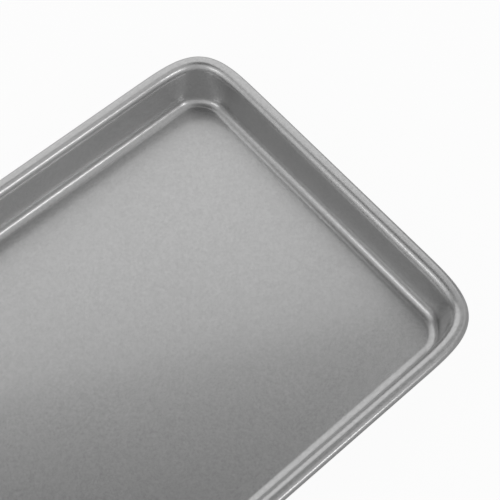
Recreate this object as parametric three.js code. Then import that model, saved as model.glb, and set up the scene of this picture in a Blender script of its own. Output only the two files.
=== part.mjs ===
// Shallow rectangular cake pan: one pressed steel sheet whose rim is rolled round a stiffening wire.
// Millimetres, +Z up. The origin is the centre of the underside, with +X along the pan's length.
import * as THREE from 'three';

// Overall size
const overallLength = 330;
const overallWidth = 241;
const overallHeight = 32;
const sheetThickness = 0.8;

// Rim: the roll closes round the wire, then a narrow flat, a tight lip and a wider shoulder lead into the
// wall. The lip ends where the upper face, which looks up on the flat, looks this far above level.
const wireDiameter = 4.2;
const wireClearance = 0.3;
const wireButtGap = 1;
const rollTurnDegrees = 225;
const rimFlat = 1.4;
const lipRadius = 3.9;
const lipEndDegrees = 46;
const shoulderRadius = 6.7;

// Wall and floor, seen from inside
const wallDraftDegrees = 5.7;
const footRadius = 6.4;

// Corners in plan. The rim's corner starts gently and tightens towards its middle, so it is a superellipse:
// an exponent of 2 would be a plain arc, and the reach is how far from the corner the straight side ends.
const rimCornerReach = 57;
const rimCornerExponent = 4;
const floorCornerRadius = 15.5;

// Facets
const cornerSteps = 12;
const rollSteps = 15;
const lipSteps = 3;
const shoulderSteps = 4;
const footSteps = 5;
const wireSides = 10;

// Sizes that follow from these
const wireRadius = wireDiameter / 2;
const rollRadius = wireRadius + wireClearance + sheetThickness;
const rollHeight = overallHeight - rollRadius;
const lipEnd = THREE.MathUtils.degToRad(lipEndDegrees);
const wallDraft = THREE.MathUtils.degToRad(wallDraftDegrees);
const rollTurn = THREE.MathUtils.degToRad(rollTurnDegrees);
const upright = Math.PI / 2;

// Section of the wall. The shoulder's centre lies behind the lip's, so that the two curves meet smoothly.
const lipCentre = { inset: rollRadius + rimFlat, height: overallHeight - lipRadius };
const shoulderCentre = {
  inset: lipCentre.inset - (shoulderRadius - lipRadius) * Math.cos(lipEnd),
  height: lipCentre.height - (shoulderRadius - lipRadius) * Math.sin(lipEnd),
};
const shoulderEnd = {
  inset: shoulderCentre.inset + shoulderRadius * Math.cos(wallDraft),
  height: shoulderCentre.height + shoulderRadius * Math.sin(wallDraft),
};
const footHeight = sheetThickness + footRadius;
const wallFootHeight = footHeight - footRadius * Math.sin(wallDraft);
const wallFootInset = shoulderEnd.inset + Math.tan(wallDraft) * (shoulderEnd.height - wallFootHeight);
const floorInset = wallFootInset + footRadius * Math.cos(wallDraft);

// Two plan outlines: the rim's outer edge, and the line where the foot's curve meets the flat floor
const rimOutline = {
  length: overallLength,
  width: overallWidth,
  reach: rimCornerReach,
  exponent: rimCornerExponent,
};
const floorOutline = {
  length: overallLength - 2 * floorInset,
  width: overallWidth - 2 * floorInset,
  reach: floorCornerRadius,
  exponent: 2,
};

// Point of a superellipse corner, from its centre, where the outline faces the given angle
function cornerPoint(reach, exponent, facing) {
  const power = 1 / (exponent - 1);
  const across = Math.cos(facing) ** power;
  const along = Math.sin(facing) ** power;
  const scale = reach / (across ** exponent + along ** exponent) ** (1 / exponent);
  return new THREE.Vector2(across * scale, along * scale);
}

// Stations round the pan, anticlockwise from the +X end: which corner, and which way the outline faces there
function planStations() {
  const quadrants = [[1, 1], [-1, 1], [-1, -1], [1, -1]];
  return quadrants.flatMap(([signX, signY]) => {
    const turnsBack = signX * signY < 0;
    return Array.from({ length: cornerSteps + 1 }, (_, step) => {
      const share = turnsBack ? cornerSteps - step : step;
      const facing = (upright / 2) * (1 - Math.cos((Math.PI * share) / cornerSteps));
      return { signX, signY, facing };
    });
  });
}

// Point in the pan at a station: an outline, moved in parallel by inset, at a height
function planPoint(outline, station, inset, height) {
  const corner = cornerPoint(outline.reach, outline.exponent, station.facing);
  const x = outline.length / 2 - outline.reach + corner.x - inset * Math.cos(station.facing);
  const y = outline.width / 2 - outline.reach + corner.y - inset * Math.sin(station.facing);
  return new THREE.Vector3(station.signX * x, station.signY * y, height);
}

// Arc of section points. An angle is the way the pan's upper face looks: 0 is inwards, 90 degrees is up.
function arc(outline, centre, radius, from, to, steps) {
  return Array.from({ length: steps + 1 }, (_, step) => {
    const angle = from + ((to - from) * step) / steps;
    return {
      outline,
      inset: centre.inset + radius * Math.cos(angle),
      height: centre.height + radius * Math.sin(angle),
    };
  });
}

// One face of the sheet, from the floor's edge up the wall and round the roll. depth 0 is the upper face,
// which becomes the outside of the roll, and depth sheetThickness is the other face. The lip's first point is
// the shoulder's last.
function sheetFace(depth) {
  const footCentre = { inset: 0, height: footHeight };
  const rollCentre = { inset: rollRadius, height: rollHeight };
  return [
    ...arc(floorOutline, footCentre, -(footRadius + depth), upright, wallDraft, footSteps),
    ...arc(rimOutline, shoulderCentre, shoulderRadius - depth, wallDraft, lipEnd, shoulderSteps),
    ...arc(rimOutline, lipCentre, lipRadius - depth, lipEnd, upright, lipSteps).slice(1),
    ...arc(rimOutline, rollCentre, rollRadius - depth, upright, upright + rollTurn, rollSteps),
  ];
}

// Closed solid from closed rings of points that all have the same count. The rings join in order, and the
// first and last are each closed by a flat fan round their middle.
function loftedGeometry(rings) {
  const count = rings[0].length;
  const points = rings.flat();
  const triangles = [];
  for (let ring = 0; ring < rings.length - 1; ring += 1) {
    for (let k = 0; k < count; k += 1) {
      const next = (k + 1) % count;
      const a = ring * count + k;
      const b = (ring + 1) * count + k;
      const c = (ring + 1) * count + next;
      const d = ring * count + next;
      triangles.push(a, b, c, a, c, d);
    }
  }
  const closeEnd = (ring, outwards) => {
    const middle = rings[ring].reduce((sum, p) => sum.add(p), new THREE.Vector3()).divideScalar(count);
    const centre = points.push(middle) - 1;
    for (let k = 0; k < count; k += 1) {
      const a = ring * count + k;
      const b = ring * count + ((k + 1) % count);
      triangles.push(centre, ...(outwards ? [b, a] : [a, b]));
    }
  };
  closeEnd(0, false);
  closeEnd(rings.length - 1, true);
  const geometry = new THREE.BufferGeometry().setFromPoints(points);
  geometry.setIndex(triangles);
  geometry.computeVertexNormals();
  return geometry;
}

// The pressed sheet: up the upper face, round the roll's edge and back along the other face. Its rings run
// round the pan, and the two end rings are the floor's edge, above and below.
function panShellGeometry() {
  const section = [...sheetFace(0), ...sheetFace(sheetThickness).reverse()];
  const stations = planStations();
  const rings = section.map(({ outline, inset, height }) => (
    stations.map((station) => planPoint(outline, station, inset, height))
  ));
  return loftedGeometry(rings);
}

// The wire: a round bar along the middle of the roll, with its two ends butted at the middle of the +X end
function rimWireGeometry() {
  const middle = (station) => planPoint(rimOutline, station, rollRadius, rollHeight);
  const outward = ({ signX, signY, facing }) => (
    new THREE.Vector3(signX * Math.cos(facing), signY * Math.sin(facing), 0)
  );
  const path = planStations().map((station) => ({ at: middle(station), outward: outward(station) }));
  const buttEnd = (side) => ({
    at: new THREE.Vector3(path[0].at.x, (side * wireButtGap) / 2, rollHeight),
    outward: path[0].outward,
  });
  const rings = [buttEnd(1), ...path, buttEnd(-1)].map(({ at, outward: out }) => (
    Array.from({ length: wireSides }, (_, side) => {
      const angle = (2 * Math.PI * side) / wireSides;
      const point = at.clone().addScaledVector(out, wireRadius * Math.cos(angle));
      point.z += wireRadius * Math.sin(angle);
      return point;
    })
  ));
  return loftedGeometry(rings);
}

const coating = new THREE.MeshStandardMaterial({ color: 0x8f8f90, roughness: 0.38, metalness: 0.75 });
const drawnWire = new THREE.MeshStandardMaterial({ color: 0xa3a4a6, roughness: 0.3, metalness: 1 });

const panShell = new THREE.Mesh(panShellGeometry(), coating);
panShell.name = 'pan_shell';
const rimWire = new THREE.Mesh(rimWireGeometry(), drawnWire);
rimWire.name = 'rim_wire';

const pan = new THREE.Group();
pan.add(panShell, rimWire);

export default pan;
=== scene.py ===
"""Dresses a shallow rectangular cake pan: one pressed, coated steel sheet with its rim rolled round a wire.

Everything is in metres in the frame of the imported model: the origin is the centre of the underside, +X runs
along the pan's length and +Z points up out of the open top.
"""

import logging
import math
from dataclasses import dataclass
from enum import Enum
from typing import Any, Optional, Union

import bpy
import numpy as np
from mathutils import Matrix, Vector


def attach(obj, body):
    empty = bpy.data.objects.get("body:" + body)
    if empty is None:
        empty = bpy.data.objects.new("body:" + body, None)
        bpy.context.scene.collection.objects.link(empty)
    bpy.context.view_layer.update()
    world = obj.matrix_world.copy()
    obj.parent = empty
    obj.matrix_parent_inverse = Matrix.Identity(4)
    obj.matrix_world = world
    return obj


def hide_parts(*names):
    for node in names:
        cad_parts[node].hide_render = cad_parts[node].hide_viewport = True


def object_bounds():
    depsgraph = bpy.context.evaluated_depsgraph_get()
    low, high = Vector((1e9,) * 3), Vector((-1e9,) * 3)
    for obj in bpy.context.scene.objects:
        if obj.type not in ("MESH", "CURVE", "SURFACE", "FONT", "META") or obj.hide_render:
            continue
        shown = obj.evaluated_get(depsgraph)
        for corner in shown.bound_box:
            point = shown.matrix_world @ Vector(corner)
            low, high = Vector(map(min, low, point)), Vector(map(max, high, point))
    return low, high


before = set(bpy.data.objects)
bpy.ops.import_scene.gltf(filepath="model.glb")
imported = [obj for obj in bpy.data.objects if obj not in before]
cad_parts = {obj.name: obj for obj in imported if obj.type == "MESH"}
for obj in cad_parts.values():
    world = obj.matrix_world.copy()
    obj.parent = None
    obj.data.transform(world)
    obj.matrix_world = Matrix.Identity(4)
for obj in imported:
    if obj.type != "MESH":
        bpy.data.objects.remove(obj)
CAD_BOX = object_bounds()

MM = 0.001
DEGREE = math.pi / 180
UPRIGHT = math.pi / 2
NOISE_MEAN = 0.5
log = logging.getLogger("cake_pan")


def heading(azimuth: float, elevation: float = 0.0) -> Vector:
    """Points from the pan's middle: an azimuth of 0 is +X and a right angle is +Y, and elevation is up."""
    level = math.cos(elevation)
    return Vector((math.cos(azimuth) * level, math.sin(azimuth) * level, math.sin(elevation)))


class SheetFace(Enum):
    """The two faces of the pressed sheet."""

    UPPER = "upper"
    UNDER = "under"


class Signal:
    """A shader socket that takes part in Python arithmetic: each operator adds one Math node."""

    def __init__(self, tree: "ShaderTree", socket: bpy.types.NodeSocket) -> None:
        """Keeps an output socket and the tree that it belongs to."""
        self.tree = tree
        self.socket = socket

    def __add__(self, other: "Value") -> "Signal":
        """This plus other."""
        return self.tree.math("ADD", self, other)

    def __sub__(self, other: "Value") -> "Signal":
        """This minus other."""
        return self.tree.math("SUBTRACT", self, other)

    def __rsub__(self, other: "Value") -> "Signal":
        """Other minus this."""
        return self.tree.math("SUBTRACT", other, self)

    def __mul__(self, other: "Value") -> "Signal":
        """This times other."""
        return self.tree.math("MULTIPLY", self, other)

    __radd__ = __add__
    __rmul__ = __mul__

    def maximum(self, other: "Value") -> "Signal":
        """The larger of this and other."""
        return self.tree.math("MAXIMUM", self, other)


Value = Union[float, Signal]
Length = Union[float, np.ndarray]


class ShaderTree:
    """The node tree of a material or of the world."""

    def __init__(self, owner: Union[bpy.types.Material, bpy.types.World]) -> None:
        """Empties the owner's node tree.

        Args:
            owner: The material or the world whose tree it is.
        """
        owner.use_nodes = True
        self.tree = owner.node_tree
        self.tree.nodes.clear()

    def add(
        self,
        kind: str,
        settings: Optional[dict[str, Any]] = None,
        inputs: Optional[dict[Union[str, int], Any]] = None,
        output: Union[str, int] = 0,
    ) -> Signal:
        """Adds a node.

        Args:
            kind: Blender's name for the node's type.
            settings: The node's own properties, which are set first.
            inputs: A value or a signal for each socket, by the socket's name or place.
            output: The name or place of the output that is wanted.

        Returns:
            The signal of that output.
        """
        node = self.tree.nodes.new(kind)
        for name, value in (settings or {}).items():
            setattr(node, name, value)
        for place, value in (inputs or {}).items():
            if isinstance(value, Signal):
                self.tree.links.new(value.socket, node.inputs[place])
            else:
                node.inputs[place].default_value = value
        return Signal(self, node.outputs[output])

    def math(self, operation: str, first: Value, second: Value) -> Signal:
        """Adds a Math node on two values."""
        return self.add("ShaderNodeMath", {"operation": operation}, {0: first, 1: second})

    def noise(self, size: float, detail: float) -> Signal:
        """Adds a noise on Object coordinates.

        Args:
            size: About how far apart its lumps lie, in metres.
            detail: How many finer noises are added to it.

        Returns:
            The noise, around its mean.
        """
        place = self.add("ShaderNodeTexCoord", output="Object")
        inputs = {"Vector": place, "Scale": 1 / size, "Detail": detail}
        return self.add("ShaderNodeTexNoise", None, inputs, "Fac")

    def dot(self, direction: Signal, vector: Vector) -> Signal:
        """Adds the dot product of a direction and a fixed vector."""
        inputs = {0: direction, 1: vector}
        return self.add("ShaderNodeVectorMath", {"operation": "DOT_PRODUCT"}, inputs, "Value")

    def ray(self, kind: str) -> Signal:
        """Adds a value that is 1 for rays of a kind, such as Camera or Glossy, and 0 for others."""
        return self.add("ShaderNodeLightPath", output=f"Is {kind} Ray")

    def grey(self, value: Signal) -> Signal:
        """Makes a neutral colour of a value."""
        return self.add("ShaderNodeCombineColor", None, {0: value, 1: value, 2: value})

    def step(self, value: Signal, edge: tuple[float, float], levels: tuple[float, float]) -> Signal:
        """Turns a value smoothly from one level to another between the two ends of an edge."""
        return self.add("ShaderNodeMapRange", {"interpolation_type": "SMOOTHSTEP"}, {
            "Value": value,
            "From Min": edge[0],
            "From Max": edge[1],
            "To Min": levels[0],
            "To Max": levels[1],
        })

    def surface(self, shader: Signal, output_kind: str = "ShaderNodeOutputMaterial") -> None:
        """Joins a finished shader to the tree's output."""
        output = self.tree.nodes.new(output_kind)
        self.tree.links.new(shader.socket, output.inputs["Surface"])


@dataclass(frozen=True)
class NonstickCoating:
    """Grey non-stick coating: metal flakes in a film, some glossy, some rough, with a grain and a mottle."""

    shade: float = 0.48
    glossy_roughness: float = 0.12
    smooth_roughness: float = 0.332
    rough_roughness: float = 0.57
    flake_size: float = 0.12 * MM
    glossy_share: tuple[float, float] = (0.43, 0.37)
    rough_share: tuple[float, float] = (0.578, 0.658)
    grain_size: float = 1.5 * MM
    grain_shade: float = 0.35
    grain_height: float = 0.006 * MM
    mottle_size: float = 60 * MM
    mottle_shade: float = 0.03

    def material(self) -> bpy.types.Material:
        """Makes the material.

        Returns:
            A metal whose shade is the base shade, times one plus the grain and the mottle, each a noise less
            its mean. The flakes' noise makes the film glossy where it is low and rough where it is high, and
            the grain raises a slight bump.
        """
        material = bpy.data.materials.new("nonstick_coating")
        tree = ShaderTree(material)
        grain = tree.noise(self.grain_size, detail=2.0)
        mottle = tree.noise(self.mottle_size, detail=1.0)
        speckle = self.grain_shade * (grain - NOISE_MEAN)
        shade = self.shade * (1 + speckle + self.mottle_shade * (mottle - NOISE_MEAN))
        flakes = tree.noise(self.flake_size, detail=1.0)
        glossy = tree.step(flakes, self.glossy_share, (0.0, self.glossy_roughness - self.smooth_roughness))
        rough = tree.step(flakes, self.rough_share, (0.0, self.rough_roughness - self.smooth_roughness))
        bump = tree.add("ShaderNodeBump", None, {"Distance": self.grain_height, "Height": grain})
        tree.surface(tree.add("ShaderNodeBsdfPrincipled", None, {
            "Base Color": tree.grey(shade),
            "Roughness": self.smooth_roughness + glossy + rough,
            "Metallic": 1.0,
            "Normal": bump,
        }))
        return material


@dataclass(frozen=True)
class DrawnWire:
    """Bare drawn steel wire, with streaks along its length that show as a broad noise."""

    shade: float = 0.64
    roughness: float = 0.35
    streak_size: float = 3 * MM
    streak_shade: float = 0.2

    def material(self) -> bpy.types.Material:
        """Makes the material.

        Returns:
            A metal whose shade is the base shade, times one plus the streaks, a noise less its mean.
        """
        material = bpy.data.materials.new("drawn_wire")
        tree = ShaderTree(material)
        streak = tree.noise(self.streak_size, detail=3.0)
        tree.surface(tree.add("ShaderNodeBsdfPrincipled", None, {
            "Base Color": tree.grey(self.shade * (1 + self.streak_shade * (streak - NOISE_MEAN))),
            "Roughness": self.roughness,
            "Metallic": 1.0,
        }))
        return material


@dataclass(frozen=True)
class PanSizes:
    """Driving sizes of the pan. The overall ones come from the frame."""

    length: float
    width: float
    height: float
    sheet: float = 0.8 * MM
    wire_diameter: float = 4.2 * MM
    wire_clearance: float = 0.3 * MM
    wire_butt_gap: float = 1 * MM
    roll_turn: float = 225 * DEGREE
    rim_flat: float = 1.4 * MM
    lip_radius: float = 3.9 * MM
    lip_end: float = 46 * DEGREE
    shoulder_radius: float = 6.7 * MM
    wall_draft: float = 5.7 * DEGREE
    foot_radius: float = 6.4 * MM
    foot_corner_radius: float = 5.2 * MM
    rim_corner_reach: float = 57 * MM
    rim_corner_exponent: float = 4
    floor_corner_radius: float = 13 * MM

    @classmethod
    def from_box(cls, low: Vector, high: Vector) -> "PanSizes":
        """Takes the overall sizes from the model's box."""
        return cls(*(high - low))

    @property
    def wire_radius(self) -> float:
        """Radius of the wire."""
        return self.wire_diameter / 2

    @property
    def roll_radius(self) -> float:
        """Outer radius of the rolled rim, which closes round the wire."""
        return self.wire_radius + self.wire_clearance + self.sheet

    @property
    def roll_height(self) -> float:
        """Height of the middle of the roll."""
        return self.height - self.roll_radius

    @property
    def lip_centre(self) -> tuple[float, float]:
        """Inset from the rim, and height, of the middle of the lip's curve."""
        return self.roll_radius + self.rim_flat, self.height - self.lip_radius

    @property
    def shoulder_centre(self) -> tuple[float, float]:
        """Works out the middle of the shoulder's curve, which runs smoothly on from the lip's.

        Returns:
            Its inset from the rim and its height.
        """
        inset, height = self.lip_centre
        behind = self.shoulder_radius - self.lip_radius
        return inset - behind * math.cos(self.lip_end), height - behind * math.sin(self.lip_end)

    @property
    def foot_height(self) -> float:
        """Height of the middle of the curve from the floor into the wall."""
        return self.sheet + self.foot_radius

    @property
    def floor_inset(self) -> float:
        """Adds up the shoulder, the slope of the wall and the foot.

        Returns:
            The inset of the flat floor's edge from the rim.
        """
        inset, height = self.shoulder_centre
        arcs = self.shoulder_radius + self.foot_radius
        drop = height - self.foot_height + arcs * math.sin(self.wall_draft)
        return inset + arcs * math.cos(self.wall_draft) + drop * math.tan(self.wall_draft)


@dataclass(frozen=True)
class Stations:
    """Places round the pan, anticlockwise from the +X end: which corner, and which way the outline faces."""

    sign_x: np.ndarray
    sign_y: np.ndarray
    facing: np.ndarray

    @classmethod
    def around(cls, steps: int) -> "Stations":
        """Spreads stations over the four corners.

        Args:
            steps: Steps from one side to the next round a corner.

        Returns:
            The stations. The facing goes from 0 to a right angle as one minus a cosine, so that the steps
            are finest where a corner meets the straight sides, and it runs back in every other corner.
        """
        turn = UPRIGHT / 2 * (1 - np.cos(np.linspace(0, math.pi, steps + 1)))
        facing = np.concatenate([turn, turn[::-1], turn, turn[::-1]])
        signs = np.repeat([(1, 1), (-1, 1), (-1, -1), (1, -1)], steps + 1, axis=0)
        return cls(signs[:, 0], signs[:, 1], facing)


@dataclass(frozen=True)
class PlanOutline:
    """A rectangle in plan with superellipse corners. An exponent of 2 makes them plain arcs."""

    length: float
    width: float
    reach: float
    exponent: float

    def rings(self, stations: Stations, inset: np.ndarray, height: np.ndarray) -> np.ndarray:
        """Carries section points round the outline.

        The corner's point that faces an angle is (cos, sin) of that angle to the power 1 / (exponent - 1),
        scaled onto the curve on which x and y to the exponent add up to the reach to the exponent. The
        inset moves it back along the way that it faces.

        Args:
            stations: The places round the pan.
            inset: How far each section point lies inside the outline, at each station or at all of them.
            height: The height of each section point, likewise.

        Returns:
            Points by section point, station and axis.
        """
        facing = np.stack([np.cos(stations.facing), np.sin(stations.facing)], axis=-1).clip(0, 1)
        corner = facing ** (1 / (self.exponent - 1))
        corner *= self.reach / (corner ** self.exponent).sum(-1, keepdims=True) ** (1 / self.exponent)
        middle = np.array([self.length, self.width]) / 2 - self.reach
        plan = middle + corner - inset[..., None] * facing
        plan *= np.stack([stations.sign_x, stations.sign_y], axis=-1)
        level = np.broadcast_to(height[..., None], plan.shape[:2] + (1,))
        return np.concatenate([plan, level], axis=-1)


def arc(
    centre: tuple[Length, Length], radius: Length, start: float, end: float, steps: int
) -> tuple[np.ndarray, np.ndarray]:
    """Works out an arc in the section, in which an angle of 0 is inwards and a right angle is up.

    Args:
        centre: Inset and height of the middle of the arc.
        radius: Radius, which is negative where the middle lies on the side that the upper face looks to. It
            and the centre are the same at all stations, or have a value for each.
        start: Angle of the first point.
        end: Angle of the last point.
        steps: Steps along the arc.

    Returns:
        The insets and the heights of the points, by point and station.
    """
    angle = np.linspace(start, end, steps + 1)[:, None]
    return centre[0] + radius * np.cos(angle), centre[1] + radius * np.sin(angle)


def lofted_mesh(name: str, rings: np.ndarray) -> bpy.types.Object:
    """Makes a closed solid from closed rings of points that join in order.

    Each pair of rings is joined by four-sided faces, and the first and last ring are closed by fans round
    their middles.

    Args:
        name: Name of the object.
        rings: Points by ring, place in the ring and axis. Outwards is to the right of the rings' order, seen
            along each ring.

    Returns:
        The object, at the origin, with smooth shading.
    """
    count, around = rings.shape[:2]
    index = np.arange(count * around).reshape(count, around)
    following = np.roll(index, -1, axis=1)
    quads = np.stack([index[:-1], index[1:], following[1:], following[:-1]], axis=-1).reshape(-1, 4)
    first, last = count * around, count * around + 1
    opening = np.stack([np.full(around, first), index[0], following[0]], axis=-1)
    closing = np.stack([np.full(around, last), following[-1], index[-1]], axis=-1)
    points = np.concatenate([rings.reshape(-1, 3), rings[0].mean(0)[None], rings[-1].mean(0)[None]])
    mesh = bpy.data.meshes.new(name)
    mesh.from_pydata(points, [], quads.tolist() + opening.tolist() + closing.tolist())
    mesh.shade_smooth()
    piece = bpy.data.objects.new(name, mesh)
    bpy.context.scene.collection.objects.link(piece)
    return piece


@dataclass(frozen=True)
class PanShell:
    """The pressed sheet: floor, foot, sloping wall, shoulder, lip and the roll that holds the wire."""

    sizes: PanSizes
    finish: NonstickCoating
    corner_steps: int = 48
    floor_steps: int = 8
    foot_steps: int = 24
    wall_steps: int = 6
    shoulder_steps: int = 16
    lip_steps: int = 14
    roll_steps: int = 45
    edge_steps: int = 8

    def outlines(self) -> tuple[PlanOutline, PlanOutline]:
        """Works out the two plan outlines that the section follows.

        Returns:
            The outline of the rim's outer edge and that of the flat floor.
        """
        s = self.sizes
        rim = PlanOutline(s.length, s.width, s.rim_corner_reach, s.rim_corner_exponent)
        inset = 2 * s.floor_inset
        return rim, PlanOutline(s.length - inset, s.width - inset, s.floor_corner_radius, 2)

    def foot_radius(self, stations: Stations) -> np.ndarray:
        """Goes from the sides' radius to the corners' with the squared sine of twice the facing."""
        s = self.sizes
        return s.foot_radius + (s.foot_corner_radius - s.foot_radius) * np.sin(2 * stations.facing) ** 2

    def face(self, face: SheetFace, stations: Stations) -> np.ndarray:
        """Works out one face of the sheet, from the floor's edge up the wall and round the roll.

        The foot's arc, which is tighter in the corners, follows the floor's outline, and the arcs of the
        shoulder, the lip and the roll follow the rim's. The wall is made of straight lines between points of
        the two that face the same way. The lip leaves out its first point, which is the shoulder's last. The
        roll stops short by half the sheet, which the rounded edge makes up.

        Args:
            face: Which face. The upper one becomes the outside of the roll.
            stations: The places round the pan.

        Returns:
            Points by section point, station and axis.
        """
        s = self.sizes
        depth = 0.0 if face is SheetFace.UPPER else s.sheet
        rim, floor = self.outlines()
        radius = self.foot_radius(stations)
        foot = arc((0.0, s.sheet + radius), -(radius + depth), UPRIGHT, s.wall_draft, self.foot_steps)
        shoulder = arc(
            s.shoulder_centre, s.shoulder_radius - depth, s.wall_draft, s.lip_end, self.shoulder_steps
        )
        lip = arc(s.lip_centre, s.lip_radius - depth, s.lip_end, UPRIGHT, self.lip_steps)
        roll = arc(
            (s.roll_radius, s.roll_height), s.roll_radius - depth, UPRIGHT, self.roll_end(), self.roll_steps
        )
        foot_rings = floor.rings(stations, *foot)
        shoulder_rings = rim.rings(stations, *shoulder)
        share = np.linspace(0, 1, self.wall_steps + 1)[1:-1, None, None]
        wall_rings = foot_rings[-1] + share * (shoulder_rings[0] - foot_rings[-1])
        lip_rings = rim.rings(stations, *lip)[1:]
        roll_rings = rim.rings(stations, *roll)
        return np.concatenate([foot_rings, wall_rings, shoulder_rings, lip_rings, roll_rings])

    def roll_end(self) -> float:
        """Angle at which the faces of the roll end and the sheet's rounded edge begins."""
        s = self.sizes
        return UPRIGHT + s.roll_turn - s.sheet / 2 / (s.roll_radius - s.sheet / 2)

    def edge(self, stations: Stations) -> np.ndarray:
        """Works out the sheet's cut edge under the roll: half a round between its two faces.

        Args:
            stations: The places round the pan.

        Returns:
            Points by section point, station and axis, without those that the two faces have already.
        """
        s = self.sizes
        end = self.roll_end()
        middle = s.roll_radius - s.sheet / 2
        centre = (s.roll_radius + middle * math.cos(end), s.roll_height + middle * math.sin(end))
        inset, height = arc(centre, s.sheet / 2, end, end + math.pi, self.edge_steps)
        return self.outlines()[0].rings(stations, inset[1:-1], height[1:-1])

    def flat(self, rim: np.ndarray) -> np.ndarray:
        """Shrinks the floor's edge towards its middle, in equal steps, to fill the floor."""
        share = np.linspace(1, 0, self.floor_steps + 1)[1:-1, None, None]
        return rim * np.where(np.arange(3) < 2, share, 1)

    def build(self) -> bpy.types.Object:
        """Makes the sheet and dresses it.

        Returns:
            The piece: rings from the middle of the floor up its upper face, round the roll's edge and back
            along the other face to the middle of the underside.
        """
        stations = Stations.around(self.corner_steps)
        upper = self.face(SheetFace.UPPER, stations)
        under = self.face(SheetFace.UNDER, stations)[::-1]
        rings = [self.flat(upper[0])[::-1], upper, self.edge(stations), under, self.flat(under[-1])]
        piece = lofted_mesh("coated_shell", np.concatenate(rings))
        piece.data.materials.append(self.finish.material())
        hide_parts("pan_shell")
        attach(piece, "root")
        return piece


@dataclass(frozen=True)
class RimWire:
    """The stiffening wire in the roll: a round bar with its two ends butted at the middle of the +X end."""

    sizes: PanSizes
    finish: DrawnWire
    corner_steps: int = 48
    sides: int = 20

    def build(self) -> bpy.types.Object:
        """Makes the wire and dresses it.

        Returns:
            The piece: a circle carried along the middle of the roll, with a gap between its ends.
        """
        s = self.sizes
        stations = Stations.around(self.corner_steps)
        rim = PlanOutline(s.length, s.width, s.rim_corner_reach, s.rim_corner_exponent)
        angle = np.linspace(0, 2 * math.pi, self.sides, endpoint=False)[:, None]
        inset = s.roll_radius - s.wire_radius * np.cos(angle)
        height = s.roll_height + s.wire_radius * np.sin(angle)
        rings = rim.rings(stations, inset, height).transpose(1, 0, 2)
        ends = rings[[0, -1]] * (1, 0, 1) + np.array([[[0, 0.5, 0]], [[0, -0.5, 0]]]) * s.wire_butt_gap
        piece = lofted_mesh("butted_wire", np.concatenate([ends[:1], rings, ends[1:]]))
        piece.data.materials.append(self.finish.material())
        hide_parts("rim_wire")
        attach(piece, "root")
        return piece


@dataclass(frozen=True)
class Softbox:
    """An oblong soft lamp that looks at the pan from a direction."""

    name: str
    azimuth: float
    elevation: float
    width: float
    height: float
    radiance: float
    distance: float

    def build(self, target: Vector) -> bpy.types.Object:
        """Makes the lamp.

        Args:
            target: The point that it looks at.

        Returns:
            The lamp, whose power is pi times its area times its radiance.
        """
        lamp = bpy.data.lights.new(self.name, "AREA")
        lamp.shape = "RECTANGLE"
        lamp.size = self.width
        lamp.size_y = self.height
        lamp.energy = math.pi * self.width * self.height * self.radiance
        back = heading(self.azimuth, self.elevation)
        holder = bpy.data.objects.new(self.name, lamp)
        holder.location = target + self.distance * back
        holder.rotation_euler = back.to_track_quat("Z", "Y").to_euler()
        bpy.context.scene.collection.objects.link(holder)
        return holder


@dataclass(frozen=True)
class DarkPatch:
    """A darker part of the room round a direction, which fades out between its inner and outer reach."""

    azimuth: float
    elevation: float
    inner_reach: float
    outer_reach: float
    shade: float

    def light_taken(self, tree: ShaderTree, direction: Signal) -> Signal:
        """Adds the light that the patch takes away from a direction.

        Args:
            tree: The world's node tree.
            direction: The direction that is looked in.

        Returns:
            The shade of the patch, smoothly down to 0, by the cosine of the angle to its middle.
        """
        closeness = tree.dot(direction, heading(self.azimuth, self.elevation))
        edge = (math.cos(self.outer_reach), math.cos(self.inner_reach))
        return tree.step(closeness, edge, (0.0, self.shade))


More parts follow.
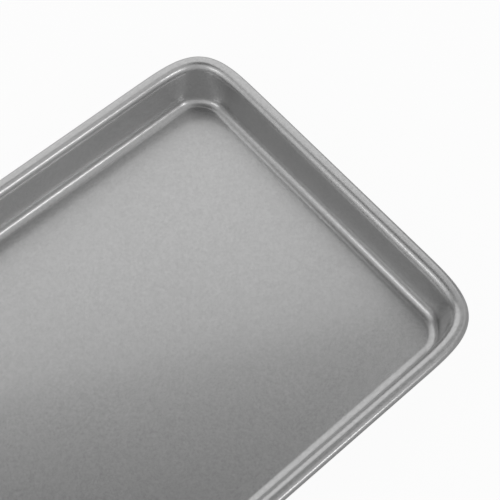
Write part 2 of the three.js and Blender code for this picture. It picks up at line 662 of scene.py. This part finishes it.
@dataclass(frozen=True)
class Studio:
    """A pale floor and, round it, a pale oval backdrop, a dark gap and a grey room with darker patches."""

    backdrop_azimuth: float = 70.6 * DEGREE
    backdrop_narrowing: float = 0.25
    backdrop_light: float = 0.39
    backdrop_edge: tuple[float, float] = (0.23, 0.343)
    gap_light: float = 0.19
    room_edge: tuple[float, float] = (0.23, -0.027)
    room_light: float = 0.75
    room_lean: tuple[float, float, float] = (-0.05, 0.15, 0.09)
    overhead_patch: DarkPatch = DarkPatch(
        200 * DEGREE, 72 * DEGREE, inner_reach=11 * DEGREE, outer_reach=28 * DEGREE, shade=0.68
    )
    side_patch: DarkPatch = DarkPatch(
        -41 * DEGREE, 25 * DEGREE, inner_reach=10 * DEGREE, outer_reach=36 * DEGREE, shade=0.22
    )
    floor_reach: float = 12.0
    floor_drop: float = 0.05 * MM
    floor_shade: float = 0.65
    seen_glow: float = 0.95
    mirrored_glow: float = 0.05

    def world(self) -> None:
        """Makes the room.

        With forward and side the parts of a direction towards the backdrop's middle and across it, the
        light goes with forward less a share of side squared: it is the gap's, plus a smooth step up to the
        backdrop's and another to the room's, which leans along a vector. The dark patches take some of it
        away. The camera sees plain white.
        """
        world = bpy.data.worlds.new("studio_room")
        bpy.context.scene.world = world
        tree = ShaderTree(world)
        direction = tree.add("ShaderNodeTexCoord", output="Generated")
        forward = tree.dot(direction, heading(self.backdrop_azimuth))
        side = tree.dot(direction, heading(self.backdrop_azimuth + UPRIGHT))
        nearness = forward - self.backdrop_narrowing * side * side
        backdrop = tree.step(nearness, self.backdrop_edge, (0.0, self.backdrop_light - self.gap_light))
        room = self.room_light - self.gap_light + tree.dot(direction, Vector(self.room_lean))
        light = self.gap_light + backdrop + room * tree.step(nearness, self.room_edge, (0.0, 1.0))
        for patch in (self.overhead_patch, self.side_patch):
            light = light - patch.light_taken(tree, direction)
        shown = light.maximum(0.0).maximum(tree.ray("Camera"))
        background = tree.add("ShaderNodeBackground", None, {"Color": (1, 1, 1, 1), "Strength": shown})
        tree.surface(background, "ShaderNodeOutputWorld")

    def floor(self) -> bpy.types.Object:
        """Makes the floor.

        Returns:
            A square that glows white where it is seen and still takes the pan's shadow.
        """
        material = bpy.data.materials.new("pale_floor")
        tree = ShaderTree(material)
        diffuse = tree.add("ShaderNodeBsdfDiffuse", None, {"Color": (self.floor_shade,) * 3 + (1,)})
        glow = tree.add("ShaderNodeEmission")
        mirrored = tree.ray("Glossy").maximum(tree.ray("Transmission"))
        share = (self.seen_glow * tree.ray("Camera")).maximum(self.mirrored_glow * mirrored)
        tree.surface(tree.add("ShaderNodeMixShader", None, {0: share, 1: diffuse, 2: glow}))
        reach = self.floor_reach
        corners = [(-reach, -reach), (reach, -reach), (reach, reach), (-reach, reach)]
        mesh = bpy.data.meshes.new("pale_floor")
        mesh.from_pydata([(x, y, -self.floor_drop) for x, y in corners], [], [(0, 1, 2, 3)])
        mesh.materials.append(material)
        floor = bpy.data.objects.new("pale_floor", mesh)
        bpy.context.scene.collection.objects.link(floor)
        return floor


LAMPS = (
    Softbox(
        "right_softbox", -75.9 * DEGREE, 31.2 * DEGREE, width=0.5, height=0.31, radiance=4.32, distance=1.73
    ),
    Softbox(
        "left_softbox", 173.7 * DEGREE, 28.6 * DEGREE, width=0.74, height=0.39, radiance=1.94, distance=1.82
    ),
    Softbox(
        "back_panel", 61.7 * DEGREE, 33.6 * DEGREE, width=1.93, height=1.22, radiance=0.69, distance=0.86
    ),
)


@dataclass(frozen=True)
class PhotoCamera:
    """The camera at the photograph's angle, fitted to the pan's rim and floor in a square frame."""

    target: tuple[float, float, float] = (93.53 * MM, -5.17 * MM, 28.8 * MM)
    azimuth: float = -130.888 * DEGREE
    elevation: float = 63.782 * DEGREE
    distance: float = 601.9 * MM
    lens: float = 78.877
    sensor: float = 36.0
    clip_start: float = 10 * MM

    def build(self) -> bpy.types.Object:
        """Makes the camera and gives it to the scene.

        Returns:
            The camera, which looks at its target.
        """
        back = heading(self.azimuth, self.elevation)
        camera = bpy.data.cameras.new("photo_camera")
        camera.lens = self.lens
        camera.sensor_width = self.sensor
        camera.clip_start = self.clip_start
        holder = bpy.data.objects.new("photo_camera", camera)
        holder.location = Vector(self.target) + self.distance * back
        holder.rotation_euler = back.to_track_quat("Z", "Y").to_euler()
        bpy.context.scene.collection.objects.link(holder)
        bpy.context.scene.camera = holder
        return holder


def report_piece(piece: bpy.types.Object) -> None:
    """Logs a piece's name and its count of faces."""
    log.info("%s: %d faces", piece.name, len(piece.data.polygons))


def write_sizes() -> None:
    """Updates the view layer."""
    bpy.context.view_layer.update()


def main() -> None:
    """Builds the pan, the studio and the camera, and reports each piece."""
    logging.basicConfig(level=logging.INFO, format="%(name)s %(message)s")
    bpy.context.scene.view_settings.view_transform = "Standard"
    sizes = PanSizes.from_box(*CAD_BOX)
    report_piece(PanShell(sizes, NonstickCoating()).build())
    report_piece(RimWire(sizes, DrawnWire()).build())
    studio = Studio()
    studio.world()
    report_piece(studio.floor())
    middle = Vector((0.0, 0.0, sizes.height))
    for lamp in LAMPS:
        lamp.build(middle)
    PhotoCamera().build()
    write_sizes()


if __name__ == "__main__":
    main()
